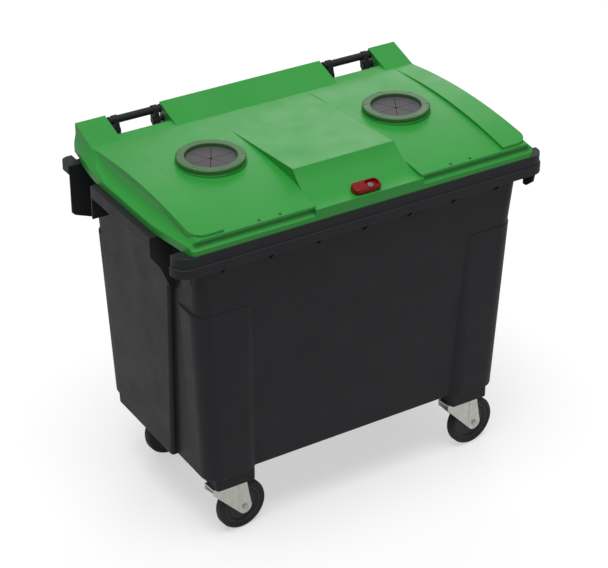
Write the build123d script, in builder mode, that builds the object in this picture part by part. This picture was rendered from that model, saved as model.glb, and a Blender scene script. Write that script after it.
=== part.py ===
from build123d import *
from math import atan2, cos, degrees, hypot, radians, sin
import os

# Wheeled waste container: tub on four swivel casters, hinged lid with two bottle inlets.
# Millimetres. X is the width, -Y the front, Z up. The origin is on the floor under the middle.

# Overall sizes
overall_width = 1370.0
overall_depth = 806.0
tub_height = 892.0
ridge_rise = 110.0
overrun = 20.0

# Caster: heights build up from the floor
wheel_diameter = 180.0
wheel_width = 40.0
caster_trail = 42.0
caster_side_inset = 106.0
caster_front_inset = 35.0
caster_rear_inset = 112.0
caster_heading = 5.0
crown_gap = 20.0
fork_steel = 6.0
race_step = 2.0
race_gap = 6.0
cup_height = 18.0
plate_thickness = 6.0
pad_thickness = 10.0
plate_length = 130.0
plate_width = 84.0
plate_corner = 12.0
bolt_spacing_x = 105.0
bolt_spacing_y = 62.0
bolt_radius = 4.0
bolt_head_flats = 13.0
bolt_head_height = 5.0
ball_radius = 3.85
ball_count = 20
race_radius = 31.0
groove_radius = 4.2
cup_radius = 44.0
cup_wall = 3.5
crown_race_radius = 39.5
kingpin_radius = 6.0
kingpin_head_radius = 11.0
kingpin_head_height = 3.0
kingpin_nut_flats = 19.0
kingpin_nut_height = 9.5
nut_gap = 0.5
kingpin_running = 0.08
leg_steel = 4.0
leg_gap = 3.0
leg_back = 80.0
leg_front = 48.0
leg_drop = 16.0
axle_boss_radius = 26.0
swage_height = 1.5
swage_start = 18.0
axle_radius = 6.0
axle_running = 0.06
axle_head_flats = 19.0
axle_head_height = 6.0
hub_radius = 22.0
hub_side_gap = 7.0
web_thickness = 18.0
dish_radius = 56.0
rim_edge_radius = 62.0
rim_outer_radius = 69.0
rim_side_gap = 10.0
tyre_shoulder = 10.0
bearing_wall = 8.0
bearing_end_gap = 0.5

# Tub
wall = 6.0
side_flange_width = 79.0
side_taper = 34.0
front_flange_width = 35.0
front_taper = 43.0
rear_flange_width = 13.0
rear_taper = 28.0
body_corner_bottom = 100.0
body_corner_top = 28.0
post_width = 197.0
post_depth = 160.0
post_height = 647.0
post_foot_reach = 22.0
post_front_setback = 9.0
post_rear_setback = 2.0
post_side_setback = 2.0
post_corner = 55.0
edge_round = 9.0
panel_foot_reach = 22.0
panel_top_reach = 18.0
panel_reach = 90.0
panel_front_reach = 135.0
panel_rear_foot_in = 81.0
panel_rear_top_in = 79.0
panel_corner = 12.0
foot_skirt = 40.0
foot_side_gap = 3.0
foot_wall = 5.0

# Rim
flange_thickness = 12.0
rim_corner = 50.0
band_thickness = 6.0
band_height = 67.0
bar_height = 30.0
groove_height = 6.0
groove_depth = 4.0
band_setback = 4.0
side_band_height = 41.0
ear_front_set_in = 58.0
ear_rear_set_in = 32.0
ear_front_length = 124.0
ear_rear_length = 158.0
ear_width = 58.0
comb_rib_margin = 90.0
comb_rib_pitch = 171.0
comb_rib_thickness = 7.0
comb_rib_drop = 42.0
comb_rib_setback = 4.0
gusset_thickness = 6.0
gusset_tip_drop = 66.0
gusset_knee_drop = 114.0
gusset_knee_in = 33.0
gusset_foot_drop = 191.0
gusset_foot_in = 64.0
gusset_root_drop = 210.0
rear_gusset_drop = 118.0
rear_plate_in = 4.0
rear_plate_drop = 172.0
rear_plate_chamfer = 10.0
rear_plate_foot_drop = 212.0
horn_width = 45.0
horn_height = 30.0
horn_corner = 30.0
corner_rib_set_in = 45.0
corner_rib_drop = 116.0
corner_rib_tip_drop = 89.0
corner_rib_tip_in = 9.0
corner_rib_foot_in = 41.0

# Hinge
lug_inner_gap = 28.0
lug_outer_gap = 26.0
lug_thickness = 18.0
pin_set_in = 23.0
pin_rise = 60.0
pin_radius = 8.0
pin_head_radius = 12.0
pin_head_height = 4.0
pin_running = 0.06
pin_eye_radius = 18.0
bar_set_in = 15.0
bar_rise = 94.0
bar_radius = 13.0
bar_eye_radius = 16.0
bar_end_overhang = 10.0
bar_cap_thickness = 3.0
bar_cap_radius = 14.5
lug_base_depth = 34.0

# Lid
lid_skin = 5.0
lid_seat_gap = 0.3
lid_lip_setback = 6.0
lid_rear_lift = 12.0
lid_rear_lift_start = 90.0
lid_rear_lift_end = 50.0
rear_overhang = 36.0
lid_side_set_in = 24.0
lid_front_taper = 27.0
lid_rear_taper = 31.0
lid_front_shoulder = 197.0
lid_rear_shoulder = 203.0
lid_shoulder_round = 500.0
lid_front_round = 20.0
lid_rear_round = 8.0
side_lip_rise = 25.0
wall_top_rise = 72.0
wall_top_set_in = 40.0
wall_top_front_taper = 18.0
pocket_top_rise = 76.0
pocket_front_rise = 22.0
pocket_fade_rise = 39.0
pocket_fade_in = 10.0
pocket_fade_length = 90.0
pocket_end_in = 34.0
pocket_end_drop = 4.0
pocket_front_length = 227.0
pocket_rear_length = 280.0
front_lip_rise = 17.0
front_pocket_depth = 17.0
front_pocket_gap = 4.0
crease_set_in = 118.0
crease_rise = 70.0
wing_crown_offset = 44.0
wing_mid_rise = 82.0
wing_front_setback = 8.0
wing_front_rise = 48.0
panel_edge = 8.0
middle_round = 4.0
lip_rise = 39.0
hump_to_inlet = 163.0
apron_flare = 9.0
hump_front_setback = 158.0
hump_front_rise = 107.0
apron_mid_setback = 92.0
apron_mid_rise = 59.0
strip_width_rear = 77.0
strip_width_front = 105.0
strip_corner = 46.0
strip_front_setback = 14.0
strip_front_rise = 58.0
strip_mid_rise = 90.0
strip_thickness = 14.0
notch_outer_set_in = 118.0
notch_width = 200.0
notch_front_set_in = 78.0
notch_floor_rise = 74.0
boss_radius = 17.0
boss_depth = 12.0
bush_radius = 11.0
bush_flange_radius = 14.0
bush_flange = 2.0

# Inlets
inlet_to_strip = 165.0
inlet_bore_radius = 84.0
ring_outer_radius = 112.5
ring_height = 16.0
ring_round = 5.0
ring_inner_round = 3.0
seat_radius = 115.0
seat_rise = 86.5
seat_depth = 16.0
rosette_thickness = 3.0
rosette_radius = 92.0
rosette_fit = 0.3
slit_count = 6
slit_width = 1.6
slit_inner = 5.0
slit_outer = 74.0
clamp_inner = 86.0
clamp_outer = 111.0
clamp_thickness = 5.0
ring_screw_count = 6
ring_screw_pitch = 102.0
ring_screw_radius = 2.0
ring_screw_head = 4.5
ring_screw_sink = 3.0
wing_screw_inner_offset = 35.0
wing_screw_outer_offset = 40.0
wing_screw_setback = 13.0
wing_screw_head = 5.0
wing_screw_head_height = 2.5
wing_screw_sink = 1.5
screw_head_gap = 0.3
wing_screw_length = 14.0

# Lock
lock_setback = 31.0
lock_tilt = 12.0
lock_width = 98.0
lock_depth = 46.0
lock_height = 17.0
lock_corner = 16.0
lock_round = 4.0
recess_x = 20.0
recess_width = 44.0
recess_depth_y = 32.0
recess_sink = 9.0
recess_corner = 10.0
barrel_x = 16.0
barrel_radius = 9.0
barrel_running = 0.3
barrel_length = 44.0
barrel_proud = 3.0
key_slot_width = 2.2
key_slot_length = 10.0
key_slot_depth = 5.0
cam_length = 38.0
cam_width = 16.0
cam_thickness = 4.0
cam_screw_radius = 2.5
cam_screw_head = 5.0
cam_screw_head_height = 2.5
cam_screw_length = 12.0
striker_width = 26.0
striker_gap = 10.0
striker_steel = 3.0
striker_rise = 21.0
striker_front = 24.0
striker_reach = 22.0
striker_screw_radius = 2.5
striker_screw_head = 4.0
striker_screw_head_height = 2.0
striker_screw_length = 10.0

# Drain
drain_radius = 22.0
drain_head_radius = 30.0
drain_head_height = 8.0
drain_shank = 16.0
drain_bore_radius = 14.0
drain_seal = 2.0
drain_well_radius = 34.0
drain_well_depth = 12.0
drain_grip_width = 8.0
drain_grip_depth = 5.0

# Heights and places that follow from the sizes above
wheel_radius = wheel_diameter / 2
crown_bottom = wheel_diameter + crown_gap
crown_top = crown_bottom + fork_steel
crown_race_top = crown_top + race_step
top_race_bottom = crown_race_top + race_gap
ball_height = (crown_race_top + top_race_bottom) / 2
plate_bottom = top_race_bottom + cup_height
plate_top = plate_bottom + plate_thickness
tub_bottom = plate_top + pad_thickness
floor_top = tub_bottom + wall
rim_top = tub_bottom + tub_height
flange_bottom = rim_top - flange_thickness
band_bottom = rim_top - band_height
drain_top = tub_bottom + drain_well_depth
rim_front = -overall_depth / 2
lid_rear = overall_depth / 2
rim_rear = lid_rear - rear_overhang
rim_depth = rim_rear - rim_front
rim_middle = (rim_front + rim_rear) / 2
lid_front = rim_front + lid_lip_setback
lid_bottom = rim_top + lid_seat_gap
ridge_top = rim_top + ridge_rise
pin_z = rim_top + pin_rise
bar_z = rim_top + bar_rise
seat_top = rim_top + seat_rise
leg_inner = wheel_width / 2 + leg_gap
leg_outer = leg_inner + leg_steel
half_width = overall_width / 2

half_width_top = half_width - side_flange_width
half_width_bottom = half_width_top - side_taper
front_top = -rim_front - front_flange_width
front_bottom = front_top - front_taper
rear_top = rim_rear - rear_flange_width
rear_bottom = rear_top - rear_taper
panel_rear_foot = rear_bottom - panel_rear_foot_in
panel_rear_top = rear_top - panel_rear_top_in
post_inner = half_width_bottom - post_width
post_front_bottom = front_bottom + post_foot_reach
post_front_top = front_top - post_front_setback
post_rear_bottom = rear_bottom + post_foot_reach
post_rear_top = rear_top - post_rear_setback
post_side_top = half_width_top - post_side_setback
panel_side_bottom = half_width_bottom + panel_foot_reach
panel_side_top = half_width_top + panel_top_reach
ear_inner = half_width - ear_width
ear_front = -rim_front - ear_front_set_in
ear_rear = rim_rear - ear_rear_set_in
flange_front_end = ear_front - ear_front_length
flange_rear_end = ear_rear - ear_rear_length
comb_rib_count = 2 * int((half_width - comb_rib_margin) / comb_rib_pitch) + 1
corner_rib_x = half_width - corner_rib_set_in

lid_half = half_width - lid_side_set_in
lid_half_front = lid_half - lid_front_taper
lid_half_rear = lid_half - lid_rear_taper
lid_side_top = lid_half - wall_top_set_in
crease_y = lid_rear - crease_set_in
wing_mid_y = (crease_y + lid_front) / 2 + wing_crown_offset
wing_front_y = lid_front + wing_front_setback
hump_front_y = lid_front + hump_front_setback
apron_mid_y = lid_front + apron_mid_setback
strip_front_y = lid_front + strip_front_setback
strip_inner_rear = lid_side_top - strip_width_rear
strip_inner_front = lid_side_top - strip_width_front
inlet_x = strip_inner_front - inlet_to_strip
inlet_y = wing_mid_y
hump_half = inlet_x - hump_to_inlet
apron_half = hump_half + apron_flare
wing_screw_inner_x = inlet_x - wing_screw_inner_offset
wing_screw_outer_x = inlet_x + wing_screw_outer_offset
notch_outer = lid_half_rear - notch_outer_set_in
notch_inner = notch_outer - notch_width
notch_front_y = lid_rear - notch_front_set_in
lug_inner_x = notch_inner + lug_inner_gap
lug_outer_x = notch_outer - lug_outer_gap
pin_y = lid_rear - pin_set_in
bar_y = lid_rear - bar_set_in
lock_y = lid_front + lock_setback

caster_x = half_width_bottom - caster_side_inset
front_caster_y = caster_front_inset - front_bottom
rear_caster_y = rear_bottom - caster_rear_inset
casters = {
    "front_left": (-caster_x, front_caster_y),
    "front_right": (caster_x, front_caster_y),
    "rear_left": (-caster_x, rear_caster_y),
    "rear_right": (caster_x, rear_caster_y),
}


def save(piece, name):
    piece.label = name
    export_step(piece, f"parts/{name}.step")


def tapered_block(lower, upper):
    """Loft between two rounded rectangles, each (z, x0, x1, y0, y1, corner)."""
    with BuildPart() as block:
        for z, x0, x1, y0, y1, corner in (lower, upper):
            with BuildSketch(Plane.XY.offset(z)):
                with Locations(((x0 + x1) / 2, (y0 + y1) / 2)):
                    RectangleRounded(x1 - x0, y1 - y0, corner)
        loft(ruled=True)
    return block.part


def rounded_ends(block, ends):
    """A block with the edges of its lowest and, if asked, its highest face rounded."""
    with BuildPart() as rounded:
        add(block)
        faces = rounded.faces().sort_by(Axis.Z)
        edges = [edge for end in ends for edge in faces[end].edges()]
        fillet(edges, edge_round)
    return rounded.part


def body_block(inset):
    """The tub's main body, drawn in by inset on every side but the top."""
    low = tub_bottom + inset
    share = (low - tub_bottom) / (flange_bottom - tub_bottom)
    side = half_width_bottom + (half_width_top - half_width_bottom) * share - inset
    front = front_bottom + (front_top - front_bottom) * share - inset
    rear = rear_bottom + (rear_top - rear_bottom) * share - inset
    return tapered_block(
        (low, -side, side, -front, rear, body_corner_bottom - inset),
        (
            flange_bottom,
            inset - half_width_top,
            half_width_top - inset,
            inset - front_top,
            rear_top - inset,
            body_corner_top - inset,
        ),
    )


def post_block(side, front, inset):
    """One corner post; side is -1 or 1 and front is -1 at the front, 1 at the rear."""
    low_y = post_front_bottom if front < 0 else post_rear_bottom
    high_y = post_front_top if front < 0 else post_rear_top
    levels = []
    reaches = (
        (tub_bottom + inset, half_width_bottom, low_y),
        (tub_bottom + post_height - inset, post_side_top, high_y),
    )
    for z, reach_x, reach_y in reaches:
        xs = sorted((side * (post_inner + inset), side * (reach_x - inset)))
        ys = sorted((front * (reach_y - post_depth), front * (reach_y - inset)))
        levels.append((z, *xs, *ys, post_corner - inset))
    return tapered_block(*levels)


def panel_block(side, inset):
    """The raised middle panel of one side wall."""
    top = rim_top - side_band_height + overrun
    levels = []
    reaches = (
        (tub_bottom + inset, panel_side_bottom, panel_front_reach, panel_rear_foot),
        (top - inset, panel_side_top, flange_front_end, panel_rear_top),
    )
    for z, reach_x, front, rear in reaches:
        xs = sorted((side * (reach_x - panel_reach), side * (reach_x - inset)))
        levels.append((z, *xs, inset - front, rear - inset, panel_corner - inset))
    return tapered_block(*levels)


def foot_box(centre, margin, z0, z1):
    """Box round one caster plate, margin wider than the plate on each side."""
    x, y = centre
    with BuildPart() as box:
        with BuildSketch(Plane.XY.offset(z0)):
            with Locations((x, y)):
                RectangleRounded(
                    plate_length + 2 * margin, plate_width + 2 * margin, plate_corner
                )
        extrude(amount=z1 - z0)
    return box.part


def prism(plane, points, thickness):
    """Polygon on a plane, thickened to both sides of it."""
    with BuildPart() as solid:
        with BuildSketch(plane):
            with BuildLine():
                Polyline(*points, close=True)
            make_face()
        extrude(amount=thickness / 2, both=True)
    return solid.part


def rim_band(z0, z1, outset, thickness, zone):
    """Stretch of the rim's skirt inside the zone (x0, x1, y0, y1)."""
    x0, x1, y0, y1 = zone
    with BuildPart() as band:
        with BuildSketch(Plane.XY.offset(z0)):
            with Locations((0, rim_middle)):
                RectangleRounded(
                    overall_width + 2 * outset, rim_depth + 2 * outset, rim_corner + outset
                )
                RectangleRounded(
                    overall_width + 2 * outset - 2 * thickness,
                    rim_depth + 2 * outset - 2 * thickness,
                    rim_corner + outset - thickness,
                    mode=Mode.SUBTRACT,
                )
            with Locations(((x0 + x1) / 2, (y0 + y1) / 2)):
                Rectangle(x1 - x0, y1 - y0, mode=Mode.INTERSECT)
        extrude(amount=z1 - z0)
    return band.part


def flange_plate():
    """Flat top of the rim with its four open ears cut out."""
    outer = half_width + overrun
    width = outer - ear_inner
    middles = [side * (ear_inner + outer) / 2 for side in (-1, 1)]
    front_y = -(ear_front + flange_front_end) / 2
    rear_y = (ear_rear + flange_rear_end) / 2
    with BuildPart() as flange:
        with BuildSketch(Plane.XY.offset(flange_bottom)):
            with Locations((0, rim_middle)):
                RectangleRounded(overall_width, rim_depth, rim_corner)
            with Locations(*[(x, front_y) for x in middles]):
                Rectangle(width, ear_front_length, mode=Mode.SUBTRACT)
            with Locations(*[(x, rear_y) for x in middles]):
                Rectangle(width, ear_rear_length, mode=Mode.SUBTRACT)
        extrude(amount=flange_thickness)
    return flange.part


def rim_ribs():
    """Comb ribs, ear gussets, rear ear plates and corner ribs under the flange."""
    pieces = []
    inner_y = wall - front_top
    for number in range(comb_rib_count):
        x = (number - (comb_rib_count - 1) / 2) * comb_rib_pitch
        outer_y = rim_front + comb_rib_setback
        points = (
            (outer_y, flange_bottom),
            (outer_y, band_bottom),
            (inner_y, band_bottom - comb_rib_drop),
            (inner_y, flange_bottom),
        )
        pieces.append(prism(Plane.YZ.offset(x), points, comb_rib_thickness))
    root_x = half_width_top - 2 * wall
    for side in (-1, 1):
        front_gusset = (
            (side * half_width, flange_bottom),
            (side * half_width, rim_top - gusset_tip_drop),
            (side * (half_width - gusset_knee_in), rim_top - gusset_knee_drop),
            (side * (half_width - gusset_foot_in), rim_top - gusset_foot_drop),
            (side * root_x, rim_top - gusset_root_drop),
            (side * root_x, flange_bottom),
        )
        gusset_y = gusset_thickness / 2 - flange_front_end
        pieces.append(prism(Plane.XZ.offset(-gusset_y), front_gusset, gusset_thickness))
        rear_gusset = (
            (side * half_width, flange_bottom),
            (side * half_width, rim_top - rear_gusset_drop),
            (side * root_x, rim_top - rear_gusset_drop),
            (side * root_x, flange_bottom),
        )
        gusset_y = flange_rear_end - gusset_thickness / 2
        pieces.append(prism(Plane.XZ.offset(-gusset_y), rear_gusset, gusset_thickness))
        plate_x = half_width - rear_plate_in
        plate = (
            (side * plate_x, flange_bottom),
            (side * plate_x, rim_top - rear_plate_drop),
            (side * (plate_x - rear_plate_chamfer), rim_top - rear_plate_drop - rear_plate_chamfer),
            (side * root_x, rim_top - rear_plate_foot_drop),
            (side * (root_x - post_corner), flange_bottom),
        )
        plate_y = ear_rear + gusset_thickness / 2
        pieces.append(prism(Plane.XZ.offset(-plate_y), plate, gusset_thickness))
        front_y = -ear_front - gusset_thickness / 2
        wing = (
            (side * (half_width - band_thickness / 2), flange_bottom),
            (side * (half_width - band_thickness / 2), band_bottom),
            (side * (root_x - post_corner), band_bottom - comb_rib_drop),
            (side * (root_x - post_corner), flange_bottom),
        )
        pieces.append(prism(Plane.XZ.offset(-front_y), wing, gusset_thickness))
        tip_y = rim_front + corner_rib_tip_in
        foot_y = rim_front + corner_rib_foot_in
        rib = (
            (rim_front + band_thickness / 2, flange_bottom),
            (rim_front + band_thickness / 2, band_bottom),
            (tip_y, rim_top - corner_rib_tip_drop - gusset_thickness),
            (foot_y, rim_top - corner_rib_drop - gusset_thickness),
            (-ear_front, rim_top - corner_rib_drop - gusset_thickness),
            (-ear_front, flange_bottom),
        )
        pieces.append(prism(Plane.YZ.offset(side * corner_rib_x), rib, comb_rib_thickness))
    return pieces


def rear_horn(side):
    """End of the rim that stands out behind a rear ear, beside the lid."""
    inner, outer = half_width - horn_width, half_width
    with BuildPart() as horn:
        with BuildSketch(Plane.XY.offset(rim_top - horn_height)):
            with Locations((side * (inner + outer) / 2, (ear_rear + lid_rear) / 2)):
                Rectangle(horn_width, lid_rear - ear_rear)
        extrude(amount=horn_height)
        corners = horn.edges().filter_by(Axis.Z).sort_by(Axis.Y)[-2:]
        fillet(corners.sort_by(Axis.X)[0 if side < 0 else -1], horn_corner)
    return horn.part


def hinge_lug(x):
    """One lug that carries the handle bar's end and a hinge pin."""
    base_front = rim_rear - lug_base_depth
    with BuildPart() as lug:
        with BuildSketch(Plane.YZ.offset(x)):
            with BuildLine():
                Polyline(
                    (base_front, rim_top - flange_thickness / 2),
                    (rim_rear, rim_top - flange_thickness / 2),
                    (rim_rear, rim_top),
                    (pin_y + pin_eye_radius, pin_z),
                    (bar_y + bar_eye_radius, bar_z),
                    (bar_y - bar_eye_radius, bar_z),
                    (pin_y - pin_eye_radius, pin_z),
                    (base_front, rim_top),
                    close=True,
                )
            make_face()
            with Locations((pin_y, pin_z)):
                Circle(pin_eye_radius)
            with Locations((bar_y, bar_z)):
                Circle(bar_eye_radius)
            with Locations((pin_y, pin_z)):
                Circle(pin_radius, mode=Mode.SUBTRACT)
            with Locations((bar_y, bar_z)):
                Circle(bar_radius, mode=Mode.SUBTRACT)
            with Locations((lid_rear + overrun, bar_z)):
                Rectangle(2 * overrun, ridge_rise, mode=Mode.SUBTRACT)
        extrude(amount=lug_thickness / 2, both=True)
    return lug.part


def lug_places():
    return [s * x for s in (-1, 1) for x in (lug_inner_x, lug_outer_x)]


def caster_bolt_places():
    places = []
    for x, y in casters.values():
        for sx in (-1, 1):
            for sy in (-1, 1):
                places.append((x + sx * bolt_spacing_x / 2, y + sy * bolt_spacing_y / 2))
    return places


def striker_place():
    """Lowest inner corner of the striker bracket: x, front y and rear y on the rim."""
    x0 = barrel_x + striker_gap
    y0 = lock_y - striker_front
    return x0, y0, y0 + striker_front + striker_reach


def striker_screw_places():
    x0, y0, _ = striker_place()
    middle = y0 + striker_front / 2
    return [(x0 + striker_width / 5, middle), (x0 + 3 * striker_width / 5, middle)]


def build_tub():
    solids = [rounded_ends(body_block(0), (0,))]
    hollows = [body_block(wall)]
    for side in (-1, 1):
        for front in (-1, 1):
            solids.append(rounded_ends(post_block(side, front, 0), (0, -1)))
            hollows.append(post_block(side, front, wall))
        solids.append(rounded_ends(panel_block(side, 0), (0,)))
        hollows.append(panel_block(side, wall))
    foot_bottom = plate_top - foot_skirt + pad_thickness
    foot_margin = foot_side_gap + foot_wall
    for centre in casters.values():
        solids.append(foot_box(centre, foot_margin, foot_bottom, tub_bottom + wall / 2))
    foot_hollows = [foot_box(c, foot_side_gap, foot_bottom - overrun, plate_top) for c in casters.values()]
    far = half_width + overrun
    front_zone = (-far, far, rim_front - overrun, -ear_front)
    rear_zone = (-far, far, ear_rear, rim_rear + overrun)
    bands = [
        rim_band(band_bottom, flange_bottom, 0, band_thickness, front_zone),
        rim_band(band_bottom, flange_bottom, 0, band_thickness, rear_zone),
    ]
    for side in (-1, 1):
        xs = sorted((side * far, side * (half_width - rim_corner)))
        zone = (*xs, -flange_front_end, flange_rear_end)
        bands.append(rim_band(rim_top - side_band_height, flange_bottom, 0, band_thickness, zone))
    bar_top = band_bottom + bar_height
    upper_cut = rim_band(bar_top, rim_top + overrun, overrun, overrun + band_setback, front_zone)
    groove = rim_band(bar_top, bar_top + groove_height, overrun, overrun + groove_depth, front_zone)
    flange = flange_plate()
    ribs = rim_ribs()
    lugs = [hinge_lug(x) for x in lug_places()]
    horns = [rear_horn(side) for side in (-1, 1)]
    mouth_front = wall - front_top
    mouth_rear = rear_top - wall
    with BuildPart() as tub:
        for solid in solids + bands + [flange] + ribs + horns:
            add(solid)
        for hollow in hollows:
            add(hollow, mode=Mode.SUBTRACT)
        with BuildSketch(Plane.XY.offset(flange_bottom - wall)):
            with Locations((0, (mouth_front + mouth_rear) / 2)):
                RectangleRounded(
                    2 * (half_width_top - wall), mouth_rear - mouth_front, body_corner_top - wall
                )
        extrude(amount=flange_thickness + wall + overrun, mode=Mode.SUBTRACT)
        for lug in lugs:
            add(lug)
        add(upper_cut, mode=Mode.SUBTRACT)
        add(groove, mode=Mode.SUBTRACT)
        for hollow in foot_hollows:
            add(hollow, mode=Mode.SUBTRACT)
        with Locations(*[(x, y, plate_top) for x, y in caster_bolt_places()]):
            Cylinder(
                bolt_radius,
                pad_thickness,
                align=(Align.CENTER, Align.CENTER, Align.MIN),
                mode=Mode.SUBTRACT,
            )
        with Locations((0, 0, tub_bottom)):
            Cylinder(
                drain_well_radius + wall,
                drain_well_depth + wall,
                align=(Align.CENTER, Align.CENTER, Align.MIN),
            )
            Cylinder(
                drain_well_radius,
                drain_well_depth,
                align=(Align.CENTER, Align.CENTER, Align.MIN),
                mode=Mode.SUBTRACT,
            )
            Cylinder(
                drain_radius,
                drain_well_depth + wall,
                align=(Align.CENTER, Align.CENTER, Align.MIN),
                mode=Mode.SUBTRACT,
            )
        with Locations(*[(x, y, rim_top) for x, y in striker_screw_places()]):
            Cylinder(
                striker_screw_radius,
                striker_screw_length,
                align=(Align.CENTER, Align.CENTER, Align.MAX),
                mode=Mode.SUBTRACT,
            )
    save(tub.part, "tub")


def build_handle_bars():
    reach = lug_thickness / 2 + bar_end_overhang
    for side, name in ((-1, "handle_bar_left"), (1, "handle_bar_right")):
        x0 = side * (lug_inner_x - reach)
        x1 = side * (lug_outer_x + reach)
        with BuildPart() as bar:
            with BuildSketch(Plane.YZ.offset(min(x0, x1))):
                with Locations((bar_y, bar_z)):
                    Circle(bar_radius)
            extrude(amount=abs(x1 - x0))
        save(bar.part, name)


def build_bar_caps():
    reach = lug_thickness / 2 + bar_end_overhang
    ends = [s * x for s in (-1, 1) for x in (lug_inner_x - reach, lug_outer_x + reach + bar_cap_thickness)]
    with BuildPart() as caps:
        for x in ends:
            start = x if x < 0 else x - bar_cap_thickness
            with BuildSketch(Plane.YZ.offset(start)):
                with Locations((bar_y, bar_z)):
                    Circle(bar_cap_radius)
            extrude(amount=bar_cap_thickness)
    save(caps.part, "handle_bar_caps")


def build_hinge_pins():
    pin_end = boss_depth + bush_flange
    spans = (
        (lug_inner_x + lug_thickness / 2, notch_inner - pin_end),
        (lug_outer_x - lug_thickness / 2, notch_outer + pin_end),
    )
    with BuildPart() as pins:
        for side in (-1, 1):
            for head, tip in spans:
                out = 1 if tip > head else -1
                head_end = head - out * pin_head_height
                for start, end, radius in ((head, tip, pin_radius), (head_end, head, pin_head_radius)):
                    x0, x1 = sorted((side * start, side * end))
                    with BuildSketch(Plane.YZ.offset(x0)):
                        with Locations((pin_y, pin_z)):
                            Circle(radius)
                    extrude(amount=x1 - x0)
    save(pins.part, "hinge_pins")


def build_hinge_bushes():
    with BuildPart() as bushes:
        for side in (-1, 1):
            for face, inward in ((notch_inner, -1), (notch_outer, 1)):
                spans = (
                    (face + inward * boss_depth, face, bush_radius),
                    (face, face - inward * bush_flange, bush_flange_radius),
                )
                for start, end, radius in spans:
                    x0, x1 = sorted((side * start, side * end))
                    with BuildSketch(Plane.YZ.offset(x0)):
                        with Locations((pin_y, pin_z)):
                            Circle(radius)
                            Circle(pin_radius + pin_running, mode=Mode.SUBTRACT)
                    extrude(amount=x1 - x0)
    save(bushes.part, "hinge_bushes")


def build_drain():
    seal_bottom = drain_top - drain_seal
    head_bottom = seal_bottom - drain_head_height
    with BuildPart() as plug:
        with BuildSketch(Plane.XY.offset(head_bottom)):
            Circle(drain_head_radius)
        extrude(amount=drain_head_height)
        with BuildSketch(Plane.XY.offset(seal_bottom)):
            Circle(drain_radius)
        extrude(amount=drain_shank)
        with BuildSketch(Plane.XY.offset(seal_bottom)):
            Circle(drain_bore_radius)
        extrude(amount=drain_shank, mode=Mode.SUBTRACT)
        with BuildSketch(Plane.XY.offset(head_bottom)):
            Rectangle(2 * drain_bore_radius, drain_grip_width)
        extrude(amount=drain_grip_depth, mode=Mode.SUBTRACT)
    save(plug.part, "drain_plug")
    with BuildPart() as seal:
        with BuildSketch(Plane.XY.offset(seal_bottom)):
            Circle(drain_head_radius)
            Circle(drain_radius, mode=Mode.SUBTRACT)
        extrude(amount=drain_seal)
    save(seal.part, "drain_seal")


def hexagon_radius(flats):
    return flats / 2 / cos(radians(30))


def build_caster_bolts():
    with BuildPart() as bolts:
        for x, y in caster_bolt_places():
            with BuildSketch(Plane.XY.offset(plate_bottom - bolt_head_height)):
                with Locations((x, y)):
                    RegularPolygon(hexagon_radius(bolt_head_flats), 6)
            extrude(amount=bolt_head_height)
            with BuildSketch(Plane.XY.offset(plate_bottom)):
                with Locations((x, y)):
                    Circle(bolt_radius)
            extrude(amount=plate_thickness + pad_thickness)
    save(bolts.part, "caster_bolts")


def caster_frame(centre):
    """Plane on the floor under a caster's swivel axis, its x along the trail."""
    heading = radians(caster_heading)
    return Plane(origin=(*centre, 0), x_dir=(cos(heading), sin(heading), 0), z_dir=(0, 0, 1))


def side_plane(centre, offset):
    """Upright plane through the swivel axis; its x runs along the trail and its y up."""
    heading = radians(caster_heading)
    x_dir = Vector(cos(heading), sin(heading), 0)
    normal = Vector(sin(heading), -cos(heading), 0)
    return Plane(origin=Vector(*centre, 0) + normal * offset, x_dir=x_dir, z_dir=normal)


def disc(plane, z0, z1, outer, inner=0):
    """Round plate or ring between two heights of a plane."""
    with BuildPart() as solid:
        with BuildSketch(plane.offset(z0)):
            Circle(outer)
            if inner > 0:
                Circle(inner, mode=Mode.SUBTRACT)
        extrude(amount=z1 - z0)
    return solid.part


def ball_groove(plane):
    with BuildPart() as groove:
        with BuildSketch(Plane(plane.origin, x_dir=plane.x_dir, z_dir=-plane.y_dir)):
            with Locations((race_radius, ball_height)):
                Circle(groove_radius)
        revolve(axis=Axis(plane.origin, plane.z_dir))
    return groove.part


def build_caster_plate(tag, centre):
    frame = caster_frame(centre)
    race = disc(frame, top_race_bottom, plate_bottom, cup_radius, kingpin_radius)
    cup = disc(frame, crown_top + nut_gap * 2, top_race_bottom, cup_radius, cup_radius - cup_wall)
    groove = ball_groove(frame)
    x, y = centre
    with BuildPart() as plate:
        with BuildSketch(Plane.XY.offset(plate_bottom)):
            with Locations((x, y)):
                RectangleRounded(plate_length, plate_width, plate_corner)
                Circle(kingpin_radius, mode=Mode.SUBTRACT)
            with Locations((x, y)):
                with GridLocations(bolt_spacing_x, bolt_spacing_y, 2, 2):
                    Circle(bolt_radius, mode=Mode.SUBTRACT)
        extrude(amount=plate_thickness)
        add(race)
        add(cup)
        add(groove, mode=Mode.SUBTRACT)
        with BuildSketch(Plane.XY.offset(plate_top)):
            with Locations((x, y)):
                Circle(kingpin_head_radius)
        extrude(amount=-kingpin_head_height, mode=Mode.SUBTRACT)
    save(plate.part, f"caster_plate_{tag}")


def build_swivel_balls(tag, centre):
    x, y = centre
    with BuildPart() as balls:
        with Locations((x, y, ball_height)):
            with PolarLocations(race_radius, ball_count):
                Sphere(ball_radius)
    save(balls.part, f"swivel_balls_{tag}")


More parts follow.
